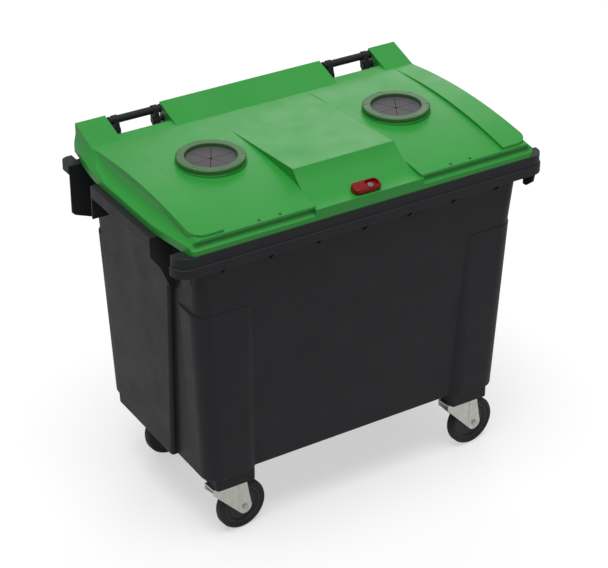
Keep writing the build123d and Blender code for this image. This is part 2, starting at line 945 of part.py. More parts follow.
def build_kingpin(tag, centre):
    frame = caster_frame(centre)
    nut_top = crown_bottom - nut_gap
    nut_bottom = nut_top - kingpin_nut_height
    shaft = disc(frame, nut_bottom, plate_top, kingpin_radius)
    head = disc(frame, plate_top - kingpin_head_height, plate_top, kingpin_head_radius)
    with BuildPart() as kingpin:
        add(shaft)
        add(head)
    with BuildPart() as nut:
        with BuildSketch(frame.offset(nut_bottom)):
            RegularPolygon(hexagon_radius(kingpin_nut_flats), 6)
            Circle(kingpin_radius, mode=Mode.SUBTRACT)
        extrude(amount=kingpin_nut_height)
    save(Compound([kingpin.part, nut.part]), f"kingpin_{tag}")


def fork_leg(centre, face, outward):
    """Fork leg whose inner face lies at face along the axle; outward is -1 or 1."""
    plane = side_plane(centre, face)
    leg_foot = axle_boss_radius
    with BuildPart() as leg:
        with BuildSketch(plane):
            with BuildLine():
                Polyline(*leg_outline(-leg_back), close=True)
            make_face()
            with Locations((caster_trail, wheel_radius)):
                Circle(leg_foot)
                Circle(axle_radius, mode=Mode.SUBTRACT)
        extrude(amount=outward * leg_steel)
        with BuildSketch(plane.offset(outward * leg_steel)):
            with BuildLine():
                Polyline(*leg_outline(swage_start), close=True)
            make_face()
            with Locations((caster_trail, wheel_radius)):
                Circle(leg_foot)
                Circle(axle_radius, mode=Mode.SUBTRACT)
            with Locations((swage_start - overall_width / 2, wheel_radius)):
                Rectangle(overall_width, overall_width, mode=Mode.SUBTRACT)
        extrude(amount=outward * swage_height)
    return leg.part


def leg_outline(back):
    """Outline of a fork leg from its back edge to its front edge, tangent to the axle boss."""
    corner_x, corner_z = -leg_back, crown_bottom - leg_drop
    reach_x, reach_z = caster_trail - corner_x, wheel_radius - corner_z
    tangent = atan2(reach_z, reach_x) - atan2(
        axle_boss_radius, (reach_x**2 + reach_z**2 - axle_boss_radius**2) ** 0.5
    )
    touch = tangent - radians(90)
    foot = (
        caster_trail + axle_boss_radius * cos(touch),
        wheel_radius + axle_boss_radius * sin(touch),
    )
    front = (caster_trail + axle_boss_radius, wheel_radius)
    if back > corner_x:
        share = (back - corner_x) / (foot[0] - corner_x)
        low_z = corner_z + (foot[1] - corner_z) * share
        return ((back, crown_bottom), (back, low_z), foot, front, (leg_front, crown_bottom))
    return ((back, crown_bottom), (back, corner_z), foot, front, (leg_front, crown_bottom))


def build_fork(tag, centre):
    frame = caster_frame(centre)
    race = disc(frame, crown_bottom, crown_race_top, crown_race_radius, kingpin_radius + kingpin_running)
    groove = ball_groove(frame)
    legs = [fork_leg(centre, leg_inner, 1), fork_leg(centre, -leg_inner, -1)]
    with BuildPart() as fork:
        with BuildSketch(frame.offset(crown_bottom)):
            with Locations(((leg_front - leg_back) / 2, 0)):
                Rectangle(leg_front + leg_back, 2 * leg_outer)
            Circle(kingpin_radius + kingpin_running, mode=Mode.SUBTRACT)
        extrude(amount=fork_steel)
        add(race)
        for leg in legs:
            add(leg)
        add(groove, mode=Mode.SUBTRACT)
    save(fork.part, f"fork_{tag}")


def build_axle_bolt(tag, centre):
    outer = leg_outer + swage_height
    start = side_plane(centre, -outer - axle_head_height)
    with BuildPart() as bolt:
        with BuildSketch(start):
            with Locations((caster_trail, wheel_radius)):
                Circle(axle_radius)
        extrude(amount=2 * (outer + axle_head_height))
        with BuildSketch(side_plane(centre, outer)):
            with Locations((caster_trail, wheel_radius)):
                RegularPolygon(hexagon_radius(axle_head_flats), 6)
        extrude(amount=axle_head_height)
    with BuildPart() as nut:
        with BuildSketch(start):
            with Locations((caster_trail, wheel_radius)):
                RegularPolygon(hexagon_radius(axle_head_flats), 6)
                Circle(axle_radius, mode=Mode.SUBTRACT)
        extrude(amount=axle_head_height)
    save(Compound([bolt.part, nut.part]), f"axle_bolt_{tag}")


def wheel_frame(centre):
    """Plane at the wheel's middle: its z along the axle, its x along the trail."""
    plane = side_plane(centre, 0)
    return Plane(
        origin=plane.from_local_coords((caster_trail, wheel_radius, 0)),
        x_dir=plane.x_dir,
        z_dir=plane.z_dir,
    )


def spin(frame, points):
    """Solid of revolution about the axle from points (radius, along the axle)."""
    with BuildPart() as solid:
        with BuildSketch(Plane(frame.origin, x_dir=frame.x_dir, z_dir=-frame.y_dir)):
            with BuildLine():
                Polyline(*points, close=True)
            make_face()
        revolve(axis=Axis(frame.origin, frame.z_dir))
    return solid.part


def build_wheel(tag, centre):
    frame = wheel_frame(centre)
    hub_half = leg_inner - hub_side_gap
    rim_half = wheel_width / 2 - rim_side_gap / 2
    bore = axle_radius + bearing_wall
    web_half = web_thickness / 2
    half_outline = (
        (bore, hub_half),
        (hub_radius, hub_half),
        (hub_radius, web_half),
        (dish_radius, web_half),
        (rim_edge_radius, rim_half),
        (rim_outer_radius, rim_half),
    )
    outline = half_outline + tuple((r, -w) for r, w in reversed(half_outline))
    save(spin(frame, outline), f"wheel_rim_{tag}")

    half = wheel_width / 2
    shoulder = tyre_shoulder
    bend = shoulder / 3
    side = (
        (rim_outer_radius, rim_half),
        (wheel_radius - shoulder, half),
        (wheel_radius - bend, half - bend),
        (wheel_radius, half - shoulder),
    )
    tyre = spin(frame, side + tuple((r, -w) for r, w in reversed(side)))
    save(tyre, f"tyre_{tag}")

    bearing_half = leg_inner - bearing_end_gap
    with BuildPart() as bearing:
        with BuildSketch(frame.offset(-bearing_half)):
            Circle(bore)
            Circle(axle_radius + axle_running, mode=Mode.SUBTRACT)
        extrude(amount=2 * bearing_half)
    save(bearing.part, f"wheel_bearing_{tag}")


def profile_block(points, arc, inset, reach):
    """Solid across the width from a side view: a polyline closed by an arc, drawn in by inset."""
    with BuildPart() as block:
        with BuildSketch(Plane.YZ):
            with BuildLine():
                Polyline(*points)
                ThreePointArc(points[-1], arc, points[0])
            make_face()
            if inset > 0:
                offset(amount=-inset, kind=Kind.INTERSECTION)
        extrude(amount=reach, both=True)
    return block.part


def wing_block(inset, drop):
    """The lid's wings and ridge, its lower edge let down by drop."""
    points = (
        (wing_front_y, rim_top + wing_front_rise),
        (wing_front_y, rim_top + wing_front_rise - panel_edge),
        (lid_front, rim_top + wing_front_rise - panel_edge),
        (lid_front, lid_bottom - drop),
        (lid_rear, lid_bottom - drop),
        (lid_rear, ridge_top),
        (crease_y, rim_top + crease_rise),
    )
    return profile_block(points, (wing_mid_y, rim_top + wing_mid_rise), inset, half_width)


def middle_block(grow, rear):
    """Upright block over the plan of the raised middle, from the front to the depth rear."""
    far = lid_front - overrun
    with BuildPart() as middle:
        with BuildSketch(Plane.XY.offset(lid_bottom - 2 * overrun)):
            with BuildLine():
                Polyline(
                    (hump_half + grow, rear),
                    (hump_half + grow, hump_front_y),
                    (apron_half + grow, lid_front),
                    (apron_half + grow, far),
                    (-apron_half - grow, far),
                    (-apron_half - grow, lid_front),
                    (-hump_half - grow, hump_front_y),
                    (-hump_half - grow, rear),
                    close=True,
                )
            make_face()
        extrude(amount=ridge_rise + 4 * overrun)
    return middle.part


def hump_block(inset, drop, plan):
    """The raised middle and its apron, down to the front lip, cut to a plan."""
    points = (
        (lid_front, rim_top + lip_rise),
        (lid_front, lid_bottom - drop),
        (crease_y, lid_bottom - drop),
        (crease_y, rim_top + crease_rise),
        (hump_front_y, rim_top + hump_front_rise),
    )
    profile = profile_block(points, (apron_mid_y, rim_top + apron_mid_rise), inset, half_width)
    with BuildPart() as hump:
        add(profile)
        add(plan, mode=Mode.INTERSECT)
    return hump.part


def rounded_hump(block):
    """The raised middle with its front and side edges rounded."""
    level = rim_top + hump_front_rise
    with BuildPart() as hump:
        add(block)
        top = []
        for edge in hump.edges().filter_by(GeomType.LINE):
            middle = edge.center()
            if middle.Z > level - middle_round and middle.Y < crease_y - middle_round:
                top.append(edge)
        fillet(top, middle_round)
    return hump.part


def strip_profile():
    """Side view of the raised outer strip of a wing, through the full width."""
    points = (
        (strip_front_y, rim_top + strip_front_rise),
        (strip_front_y, rim_top + strip_front_rise - strip_thickness),
        (crease_y, rim_top + crease_rise - strip_thickness),
        (crease_y, rim_top + crease_rise),
    )
    return profile_block(points, (wing_mid_y, rim_top + strip_mid_rise), 0, half_width)


def strip_block(side):
    """Raised outer strip: its side view cut to its plan."""
    profile = strip_profile()
    with BuildPart() as strip:
        add(profile)
        with BuildSketch(Plane.XY.offset(lid_bottom)):
            with BuildLine():
                Polyline(
                    (side * strip_inner_rear, crease_y),
                    (side * strip_inner_front, strip_front_y),
                    (side * (lid_side_top - strip_corner), strip_front_y),
                )
                RadiusArc(
                    (side * (lid_side_top - strip_corner), strip_front_y),
                    (side * lid_side_top, strip_front_y + strip_corner),
                    side * -strip_corner,
                )
                Polyline(
                    (side * lid_side_top, strip_front_y + strip_corner),
                    (side * lid_side_top, crease_y),
                    (side * strip_inner_rear, crease_y),
                )
            make_face()
        extrude(amount=ridge_rise, mode=Mode.INTERSECT)
    return strip.part


def lid_outline(inset):
    """Corners of the lid's lower edge seen from above, drawn in by inset, with their rounding."""
    front = lid_front + inset
    rear = lid_rear - inset
    right = (
        (lid_half_front - inset, front, lid_front_round),
        (lid_half - inset, -lid_front_shoulder, lid_shoulder_round),
        (lid_half - inset, lid_rear_shoulder, lid_shoulder_round),
        (lid_half_rear - inset, rear, lid_rear_round),
    )
    left = tuple((-x, y, radius) for x, y, radius in reversed(right))
    return right + left


def lid_plan(inset, z0, z1):
    """Upright block over the lid's lower edge, drawn in by inset."""
    corners = lid_outline(inset)
    with BuildPart() as plan:
        with BuildSketch(Plane.XY.offset(z0)):
            with BuildLine():
                Polyline(*[(x, y) for x, y, _ in corners], close=True)
            make_face()
        extrude(amount=z1 - z0)
        for radius in (lid_front_round, lid_shoulder_round, lid_rear_round):
            places = [(x, y) for x, y, r in corners if r == radius]
            edges = [e for e in plan.edges().filter_by(Axis.Z) if near_any(e.center(), places)]
            fillet(edges, max(radius - inset, lid_skin))
    return plan.part


def near_any(point, places):
    """Whether a point lies over one of the places of a plan."""
    return any(hypot(point.X - x, point.Y - y) < lid_skin / 2 for x, y in places)


def wall_taper(side, inset):
    """What is cut away above the lip, outside the side wall that leans in towards the top."""
    far = half_width + overrun
    foot_z = rim_top + side_lip_rise - inset
    top_z = rim_top + wall_top_rise - inset
    with BuildPart() as taper:
        for y, foot in (
            (lid_rear + overrun, lid_half_rear),
            (lid_rear_shoulder, lid_half),
            (lid_front - overrun, lid_half),
        ):
            with BuildSketch(Plane.XZ.offset(-y)):
                with BuildLine():
                    Polyline(
                        (side * (foot - inset), foot_z),
                        (side * (lid_side_top - inset), top_z),
                        (side * (lid_side_top - inset), ridge_top + overrun),
                        (side * far, ridge_top + overrun),
                        (side * far, foot_z),
                        close=True,
                    )
                make_face()
        loft(ruled=True)
    return taper.part


def side_pocket(side, inset):
    """The hollow in a side wall's outside, which fades out towards the rear."""
    far = half_width + overrun
    high = ridge_top + overrun
    fade_start = lid_front + pocket_front_length + pocket_rear_length
    fade_middle = fade_start + pocket_fade_length
    top = rim_top + pocket_top_rise
    low = rim_top + side_lip_rise
    stations = (
        (lid_front - overrun, wall_top_front_taper, 0, rim_top + pocket_front_rise),
        (lid_front + pocket_front_length, 0, 0, low),
        (fade_start, 0, 0, low),
        (fade_middle, 0, pocket_fade_in, rim_top + pocket_fade_rise),
        (fade_middle + pocket_fade_length, 0, pocket_end_in, top - pocket_end_drop),
    )
    with BuildPart() as pocket:
        for y, top_in, foot_in, foot_z in stations:
            head = (side * (lid_side_top - top_in - inset), top - inset)
            foot = (side * (lid_half - foot_in - inset), foot_z - inset)
            with BuildSketch(Plane.XZ.offset(-y)):
                with BuildLine():
                    TangentArc(head, foot, tangent=(0, -1))
                    Polyline(foot, (side * far, foot[1]), (side * far, high), (head[0], high), head)
                make_face()
        loft(ruled=True)
    return pocket.part


def front_pocket(side, inset):
    """The hollow in the front wall under a wing's edge."""
    ceiling = rim_top + wing_front_rise - panel_edge + inset
    floor = rim_top + front_lip_rise - inset
    back = lid_front + front_pocket_depth + inset
    x0, x1 = sorted((side * (apron_half + front_pocket_gap - inset), side * (half_width + overrun)))
    with BuildPart() as pocket:
        with BuildSketch(Plane.YZ.offset(x0)):
            with BuildLine():
                TangentArc((back, ceiling), (lid_front + inset, floor), tangent=(0, -1))
                Polyline(
                    (lid_front + inset, floor),
                    (lid_front - overrun, floor),
                    (lid_front - overrun, ceiling),
                    (back, ceiling),
                )
            make_face()
        extrude(amount=x1 - x0)
    return pocket.part


def notch_box(side, grow):
    """Hinge notch through the ridge, made larger by grow on each side."""
    xs = (side * (notch_inner - grow), side * (notch_outer + grow))
    front = notch_front_y - grow
    rear = lid_rear + overrun
    with BuildPart() as notch:
        with BuildSketch(Plane.XY.offset(lid_bottom - overrun)):
            with Locations((sum(xs) / 2, (front + rear) / 2)):
                Rectangle(abs(xs[1] - xs[0]), rear - front)
        extrude(amount=ridge_rise + 2 * overrun)
    return notch.part


def notch_ramp(side, grow):
    """What is cut above the notch's floor, in front of its opening."""
    x0, x1 = sorted((side * (notch_inner - grow), side * (notch_outer + grow)))
    with BuildPart() as ramp:
        with BuildSketch(Plane.YZ.offset(x0)):
            with BuildLine():
                Polyline(
                    (crease_y, rim_top + crease_rise - grow),
                    (notch_front_y + grow, rim_top + notch_floor_rise - grow),
                    (notch_front_y + grow, ridge_top + overrun),
                    (crease_y, ridge_top + overrun),
                    close=True,
                )
            make_face()
        extrude(amount=x1 - x0)
    return ramp.part


def rear_lift():
    """Wedge that raises the lid's lower edge at the rear, so that it clears the rim as it opens."""
    points = (
        (lid_rear - lid_rear_lift_start, lid_bottom),
        (lid_rear - lid_rear_lift_end, lid_bottom + lid_rear_lift),
        (lid_rear + overrun, lid_bottom + lid_rear_lift),
        (lid_rear + overrun, lid_bottom - overrun),
        (lid_rear - lid_rear_lift_start, lid_bottom - overrun),
    )
    return prism(Plane.YZ, points, 2 * overall_width)


def trimmed(block, inset, drop):
    """A lid block cut to the lid's plan and to its shaped side and front walls."""
    plan = lid_plan(inset, lid_bottom - drop, ridge_top + overrun)
    shapes = (wall_taper, side_pocket, front_pocket)
    trims = [shape(side, inset) for shape in shapes for side in (-1, 1)]
    with BuildPart() as cut:
        add(block)
        add(plan, mode=Mode.INTERSECT)
        for trim in trims:
            add(trim, mode=Mode.SUBTRACT)
    return cut.part


def lid_form():
    """The lid's outer form: wings and ridge, with the raised middle set between them."""
    middle = middle_block(0, crease_y)
    wings = wing_block(0, 0)
    hump = rounded_hump(hump_block(0, 0, middle))
    with BuildPart() as form:
        add(wings)
        add(middle, mode=Mode.SUBTRACT)
        add(hump)
    return trimmed(form.part, 0, 0)


def lid_hollow():
    """The space under the lid's skin, open below."""
    drop = 2 * overrun
    wide = middle_block(lid_skin, crease_y - 2 * lid_skin)
    narrow = middle_block(-lid_skin, crease_y)
    wings = wing_block(lid_skin, drop)
    hump = hump_block(lid_skin, drop, narrow)
    shared = hump_block(lid_skin, drop, wide)
    with BuildPart() as both:
        add(wings)
        add(shared, mode=Mode.INTERSECT)
    with BuildPart() as hollow:
        add(wings)
        add(wide, mode=Mode.SUBTRACT)
        add(both.part)
        add(hump)
    return trimmed(hollow.part, lid_skin, drop)


def inlet_places():
    return [(-inlet_x, inlet_y), (inlet_x, inlet_y)]


def screw_circle(x, y):
    """Places of one inlet ring's screws."""
    step = radians(360 / ring_screw_count)
    angles = [(number + 1 / 2) * step for number in range(ring_screw_count)]
    return [(x + ring_screw_pitch * cos(a), y + ring_screw_pitch * sin(a)) for a in angles]


def ring_screw_places():
    return [place for x, y in inlet_places() for place in screw_circle(x, y)]


def wing_surface(y):
    """Height of the wing's top at a depth y, on the arc that its outline uses."""
    (y1, z1), (y2, z2), (y3, z3) = (
        (crease_y, rim_top + crease_rise),
        (wing_mid_y, rim_top + wing_mid_rise),
        (wing_front_y, rim_top + wing_front_rise),
    )
    d = 2 * (y1 * (z2 - z3) + y2 * (z3 - z1) + y3 * (z1 - z2))
    s1, s2, s3 = (y1**2 + z1**2, y2**2 + z2**2, y3**2 + z3**2)
    cy = (s1 * (z2 - z3) + s2 * (z3 - z1) + s3 * (z1 - z2)) / d
    cz = (s1 * (y3 - y2) + s2 * (y1 - y3) + s3 * (y2 - y1)) / d
    return cz + (hypot(y1 - cy, z1 - cz) ** 2 - (y - cy) ** 2) ** 0.5


def wing_screw_places():
    y = wing_front_y + wing_screw_setback
    z = wing_surface(y) - wing_screw_sink
    return [(s * x, y, z) for s in (-1, 1) for x in (wing_screw_inner_x, wing_screw_outer_x)]


def apron_surface(y):
    """Height of the apron near the lock, on the chord between its middle and front points."""
    share = (y - lid_front) / (apron_mid_y - lid_front)
    return rim_top + lip_rise + (apron_mid_rise - lip_rise) * share


def lock_plane():
    tilt = radians(lock_tilt)
    return Plane(
        origin=(0, lock_y, apron_surface(lock_y)), x_dir=(1, 0, 0), z_dir=(0, -sin(tilt), cos(tilt))
    )


def barrel_plane():
    plane = lock_plane()
    return Plane(origin=plane.from_local_coords((barrel_x, 0, 0)), x_dir=plane.x_dir, z_dir=plane.z_dir)


def hinge_boss(side, face, inward):
    x0, x1 = sorted((side * face, side * (face + inward * boss_depth)))
    with BuildPart() as boss:
        with BuildSketch(Plane.YZ.offset(x0)):
            with Locations((pin_y, pin_z)):
                Circle(boss_radius)
        extrude(amount=x1 - x0)
    return boss.part


def build_lid():
    outer = lid_form()
    hollow = lid_hollow()
    strips = [strip_block(side) for side in (-1, 1)]
    plan = lid_plan(0, lid_bottom, ridge_top + overrun)
    keep_boxes = [notch_box(side, lid_skin) for side in (-1, 1)]
    keep_ramps = [notch_ramp(side, lid_skin) for side in (-1, 1)]
    cut_boxes = [notch_box(side, 0) for side in (-1, 1)]
    cut_ramps = [notch_ramp(side, 0) for side in (-1, 1)]
    lift = rear_lift()
    seats = [(x, y, seat_top) for x, y in inlet_places()]
    bosses = [hinge_boss(s, f, i) for s in (-1, 1) for f, i in ((notch_inner, -1), (notch_outer, 1))]
    bore = disc(barrel_plane(), -barrel_length, lock_height, barrel_radius + barrel_running)
    with BuildPart() as inside:
        add(hollow)
        for keep in keep_boxes + keep_ramps:
            add(keep, mode=Mode.SUBTRACT)
    with BuildPart() as lid:
        add(outer)
        for strip in strips:
            add(strip)
        add(plan, mode=Mode.INTERSECT)
        add(inside.part, mode=Mode.SUBTRACT)
        with Locations(*seats):
            Cylinder(seat_radius, seat_depth, align=(Align.CENTER, Align.CENTER, Align.MAX))
            Cylinder(
                inlet_bore_radius,
                2 * seat_depth,
                align=(Align.CENTER, Align.CENTER, Align.CENTER),
                mode=Mode.SUBTRACT,
            )
        for cut in cut_boxes + cut_ramps + [lift]:
            add(cut, mode=Mode.SUBTRACT)
        for boss in bosses:
            add(boss)
        with BuildSketch(Plane.YZ):
            with Locations((pin_y, pin_z)):
                Circle(bush_radius)
        extrude(amount=half_width - ridge_rise, both=True, mode=Mode.SUBTRACT)
        with Locations(*[(x, y, seat_top) for x, y in ring_screw_places()]):
            Cylinder(
                ring_screw_radius,
                2 * seat_depth,
                align=(Align.CENTER, Align.CENTER, Align.CENTER),
                mode=Mode.SUBTRACT,
            )
        with Locations(*wing_screw_places()):
            Cylinder(
                ring_screw_radius,
                2 * wing_screw_length,
                align=(Align.CENTER, Align.CENTER, Align.CENTER),
                mode=Mode.SUBTRACT,
            )
            Cylinder(
                wing_screw_head + screw_head_gap,
                wing_screw_head,
                align=(Align.CENTER, Align.CENTER, Align.MIN),
                mode=Mode.SUBTRACT,
            )
        add(bore, mode=Mode.SUBTRACT)
    save(lid.part, "lid")


def build_inlets():
    recess = rosette_thickness + rosette_fit
    for (x, y), tag in zip(inlet_places(), ("left", "right")):
        places = screw_circle(x, y)
        with BuildPart() as ring:
            with BuildSketch(Plane.XY.offset(seat_top)):
                with Locations((x, y)):
                    Circle(ring_outer_radius)
                    Circle(inlet_bore_radius, mode=Mode.SUBTRACT)
            extrude(amount=ring_height)
            top = ring.edges().group_by(Axis.Z)[-1].sort_by(SortBy.LENGTH)
            fillet(top[-1], ring_round)
            fillet(ring.edges().group_by(Axis.Z)[-1].sort_by(SortBy.LENGTH)[0], ring_inner_round)
            with BuildSketch(Plane.XY.offset(seat_top)):
                with Locations((x, y)):
                    Circle(rosette_radius + rosette_fit)
            extrude(amount=recess, mode=Mode.SUBTRACT)
            with BuildSketch(Plane.XY.offset(seat_top)):
                with Locations(*places):
                    Circle(ring_screw_radius)
            extrude(amount=ring_height, mode=Mode.SUBTRACT)
            with BuildSketch(Plane.XY.offset(seat_top + ring_height)):
                with Locations(*places):
                    Circle(ring_screw_head)
            extrude(amount=-ring_screw_sink, mode=Mode.SUBTRACT)
        save(ring.part, f"inlet_ring_{tag}")

        slit_middle = (slit_inner + slit_outer) / 2
        with BuildPart() as rosette:
            with BuildSketch(Plane.XY.offset(seat_top)):
                with Locations((x, y)):
                    Circle(rosette_radius)
                    Circle(slit_inner, mode=Mode.SUBTRACT)
                    with PolarLocations(slit_middle, slit_count):
                        SlotOverall(slit_outer, slit_width, mode=Mode.SUBTRACT)
            extrude(amount=rosette_thickness)
        save(rosette.part, f"rosette_{tag}")

        with BuildPart() as clamp:
            with BuildSketch(Plane.XY.offset(seat_top - seat_depth)):
                with Locations((x, y)):
                    Circle(clamp_outer)
                    Circle(clamp_inner, mode=Mode.SUBTRACT)
                with Locations(*places):
                    Circle(ring_screw_radius, mode=Mode.SUBTRACT)
            extrude(amount=-clamp_thickness)
        save(clamp.part, f"clamp_ring_{tag}")


def build_ring_screws():
    head_base = seat_top + ring_height - ring_screw_sink
    tip = seat_top - seat_depth - clamp_thickness - ring_screw_sink
    with BuildPart() as screws:
        for x, y in ring_screw_places():
            with BuildSketch(Plane.XY.offset(tip)):
                with Locations((x, y)):
                    Circle(ring_screw_radius)
            extrude(amount=head_base - tip)
            with BuildSketch(Plane.XY.offset(head_base)):
                with Locations((x, y)):
                    Circle(ring_screw_head)
            extrude(amount=ring_screw_sink / 2)
    save(screws.part, "ring_screws")


def build_wing_screws():
    with BuildPart() as screws:
        for x, y, z in wing_screw_places():
            with BuildSketch(Plane.XY.offset(z - wing_screw_length)):
                with Locations((x, y)):
                    Circle(ring_screw_radius)
            extrude(amount=wing_screw_length)
            with BuildSketch(Plane.XY.offset(z)):
                with Locations((x, y)):
                    Circle(wing_screw_head)
            extrude(amount=wing_screw_head_height)
    save(screws.part, "wing_screws")


def build_lock():
    plane = lock_plane()
    floor = lock_height - recess_sink
    with BuildPart() as housing:
        with BuildSketch(plane):
            RectangleRounded(lock_width, lock_depth, lock_corner)
        extrude(amount=lock_height)
        fillet(housing.faces().sort_by(Axis(plane.origin, plane.z_dir))[-1].edges(), lock_round)
        with BuildSketch(plane.offset(lock_height)):
            with Locations((recess_x, 0)):
                RectangleRounded(recess_width, recess_depth_y, recess_corner)
        extrude(amount=-recess_sink, mode=Mode.SUBTRACT)
        with BuildSketch(plane):
            with Locations((barrel_x, 0)):
                Circle(barrel_radius + barrel_running)
        extrude(amount=lock_height, mode=Mode.SUBTRACT)
    save(housing.part, "lock_housing")

    turn = barrel_plane()
    top = floor + barrel_proud
    with BuildPart() as barrel:
        with BuildSketch(turn.offset(top - barrel_length)):
            Circle(barrel_radius)
        extrude(amount=barrel_length)
        with BuildSketch(turn.offset(top)):
            Rectangle(key_slot_length, key_slot_width)
        extrude(amount=-key_slot_depth, mode=Mode.SUBTRACT)
        with BuildSketch(turn.offset(top - barrel_length)):
            Circle(cam_screw_radius)
        extrude(amount=cam_screw_length - cam_thickness, mode=Mode.SUBTRACT)
    save(barrel.part, "lock_barrel")

    cam_top = top - barrel_length
    with BuildPart() as cam:
        with BuildSketch(turn.offset(cam_top)):
            with Locations((0, (cam_length - cam_width) / 2)):
                SlotOverall(cam_length, cam_width, rotation=90)
            Circle(cam_screw_radius, mode=Mode.SUBTRACT)
        extrude(amount=-cam_thickness)
    save(cam.part, "lock_cam")

    with BuildPart() as screw:
        with BuildSketch(turn.offset(cam_top - cam_thickness)):
            Circle(cam_screw_radius)
        extrude(amount=cam_screw_length)
        with BuildSketch(turn.offset(cam_top - cam_thickness)):
            Circle(cam_screw_head)
        extrude(amount=-cam_screw_head_height)
    save(screw.part, "lock_cam_screw")


def build_striker():
    x0, y0, y1 = striker_place()
    outer_x = x0 + striker_width
    with BuildPart() as striker:
        with BuildSketch(Plane.XZ.offset(-y0)):
            with BuildLine():
                Polyline(
                    (x0, rim_top),
                    (outer_x, rim_top),
                    (outer_x, rim_top + striker_rise),
                    (x0, rim_top + striker_rise),
                    (x0, rim_top + striker_rise - striker_steel),
                    (outer_x - striker_steel, rim_top + striker_rise - striker_steel),
                    (outer_x - striker_steel, rim_top + striker_steel),
                    (x0, rim_top + striker_steel),
                    close=True,
                )
            make_face()
        extrude(amount=y0 - y1)
        with BuildSketch(Plane.XY.offset(rim_top)):
            with Locations(((x0 + outer_x) / 2, (y0 + striker_front + y1 + overrun) / 2)):
                Rectangle(striker_width - 2 * striker_steel, y1 + overrun - y0 - striker_front)
        extrude(amount=striker_steel, mode=Mode.SUBTRACT)
        with BuildSketch(Plane.XY.offset(rim_top)):
            with Locations(*striker_screw_places()):
                Circle(striker_screw_radius)
        extrude(amount=striker_steel, mode=Mode.SUBTRACT)
    save(striker.part, "lock_striker")
    with BuildPart() as screws:
        for x, y in striker_screw_places():
            with BuildSketch(Plane.XY.offset(rim_top + striker_steel - striker_screw_length)):
                with Locations((x, y)):
                    Circle(striker_screw_radius)
            extrude(amount=striker_screw_length)
            with BuildSketch(Plane.XY.offset(rim_top + striker_steel)):
                with Locations((x, y)):
                    Circle(striker_screw_head)
            extrude(amount=striker_screw_head_height)
    save(screws.part, "striker_screws")


def build_casters():
    for tag, centre in casters.items():
        build_caster_plate(tag, centre)
        build_swivel_balls(tag, centre)
        build_kingpin(tag, centre)
        build_fork(tag, centre)
        build_axle_bolt(tag, centre)
        build_wheel(tag, centre)
    build_caster_bolts()


os.makedirs("parts", exist_ok=True)
build_tub()
build_handle_bars()
build_bar_caps()
build_hinge_pins()
build_drain()
build_striker()
build_casters()
build_lid()
build_hinge_bushes()
build_inlets()
build_ring_screws()
build_wing_screws()
build_lock()
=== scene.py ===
from math import cos, radians, sin

import bpy
from mathutils import Matrix, Vector

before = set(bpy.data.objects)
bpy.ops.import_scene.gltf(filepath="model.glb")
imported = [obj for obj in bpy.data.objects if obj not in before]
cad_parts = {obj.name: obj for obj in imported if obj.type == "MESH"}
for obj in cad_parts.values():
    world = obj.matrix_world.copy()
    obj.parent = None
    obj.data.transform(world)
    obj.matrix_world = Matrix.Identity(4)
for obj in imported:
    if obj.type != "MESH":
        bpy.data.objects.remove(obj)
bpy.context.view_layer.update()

# Camera fitted to the photo: places in metres, width and focal length in pixels
PHOTO_WIDTH = 608
FOCAL_PIXELS = 2000
CAMERA_PLACE = (-3.056, -4.948, 4.091)
CAMERA_YAW = radians(31.71)
CAMERA_PITCH = radians(30.57)
SENSOR_WIDTH = 36
FAR_CLIP = 100

# Lamps: places and sizes in metres, power in watts
KEY_DIRECTION = (0.12, 0.14, -1.0)
KEY_STRENGTH = 2.0
KEY_SPREAD = radians(40)
BACK_PLACE = (4.2, 5.8, 3.9)
BACK_TARGET = (0.2, 0, 1.1)
BACK_SIZE = 3.5
BACK_POWER = 60

# Surroundings: what lights the object, and what the camera and reflections see
WHITE = (1, 1, 1, 1)
NO_GLOW = (0, 0, 0, 1)
WORLD_LIGHT = 0.30
WORLD_SEEN = 1
FLOOR_REACH = 14
FLOOR_LIT = (0.34, 0.34, 0.34, 1)
FLOOR_SEEN = (0.5, 0.5, 0.5, 1)
FLOOR_GLOW = 0.55
FLOOR_ROUGHNESS = 0.9
GLOSSY_SHARE = 0.5

# Curve between display colours and linear ones
SRGB_TOP = 255
SRGB_KNEE = 0.04045
SRGB_SLOPE = 12.92
SRGB_OFFSET = 0.055
SRGB_POWER = 2.4

# Sockets of a colour mix node
MIX_FACTOR, MIX_FIRST, MIX_SECOND, MIX_RESULT = 0, 6, 7, 2

# Noise: scales are repeats per metre
NOISE_LOW = 0.3
NOISE_HIGH = 0.7
NOISE_DETAIL = 3
NOISE_ROUGHNESS = 0.55
GRAIN_DETAIL = 2
PLASTIC_CLOUD = {"scale": 5, "detail": 4}
PLASTIC_HAZE = {"scale": 11}
PLASTIC_HAZE_RANGE = (-0.04, 0.05)
PLASTIC_GRAIN_DEPTH = 0.00012
METAL_CLOUD = {"scale": 55, "detail": 5, "roughness": 0.7}
METAL_HAZE = {"scale": 90, "detail": 4, "roughness": 0.6}
METAL_HAZE_RANGE = (-0.07, 0.08)
METAL_GRAIN_SCALE = 700
METAL_GRAIN = 0.12
METAL_GRAIN_DEPTH = 0.0001

# Edges: the bevel's samples, and where the painted highlight along an edge starts and is full
EDGE_SAMPLES = 6
EDGE_HIGHLIGHT_SAMPLES = 8
EDGE_HIGHLIGHT_REACH = 0.004
EDGE_HIGHLIGHT_START = 0.99
EDGE_HIGHLIGHT_FULL = 0.80


def srgb(*colour):
    """8-bit display colour to linear."""
    out = []
    for value in colour:
        value /= SRGB_TOP
        if value <= SRGB_KNEE:
            out.append(value / SRGB_SLOPE)
        else:
            out.append(((value + SRGB_OFFSET) / (1 + SRGB_OFFSET)) ** SRGB_POWER)
    return (*out, 1)


def scaled(colour, share):
    return tuple(min(1, c * share) for c in colour[:3]) + (1,)


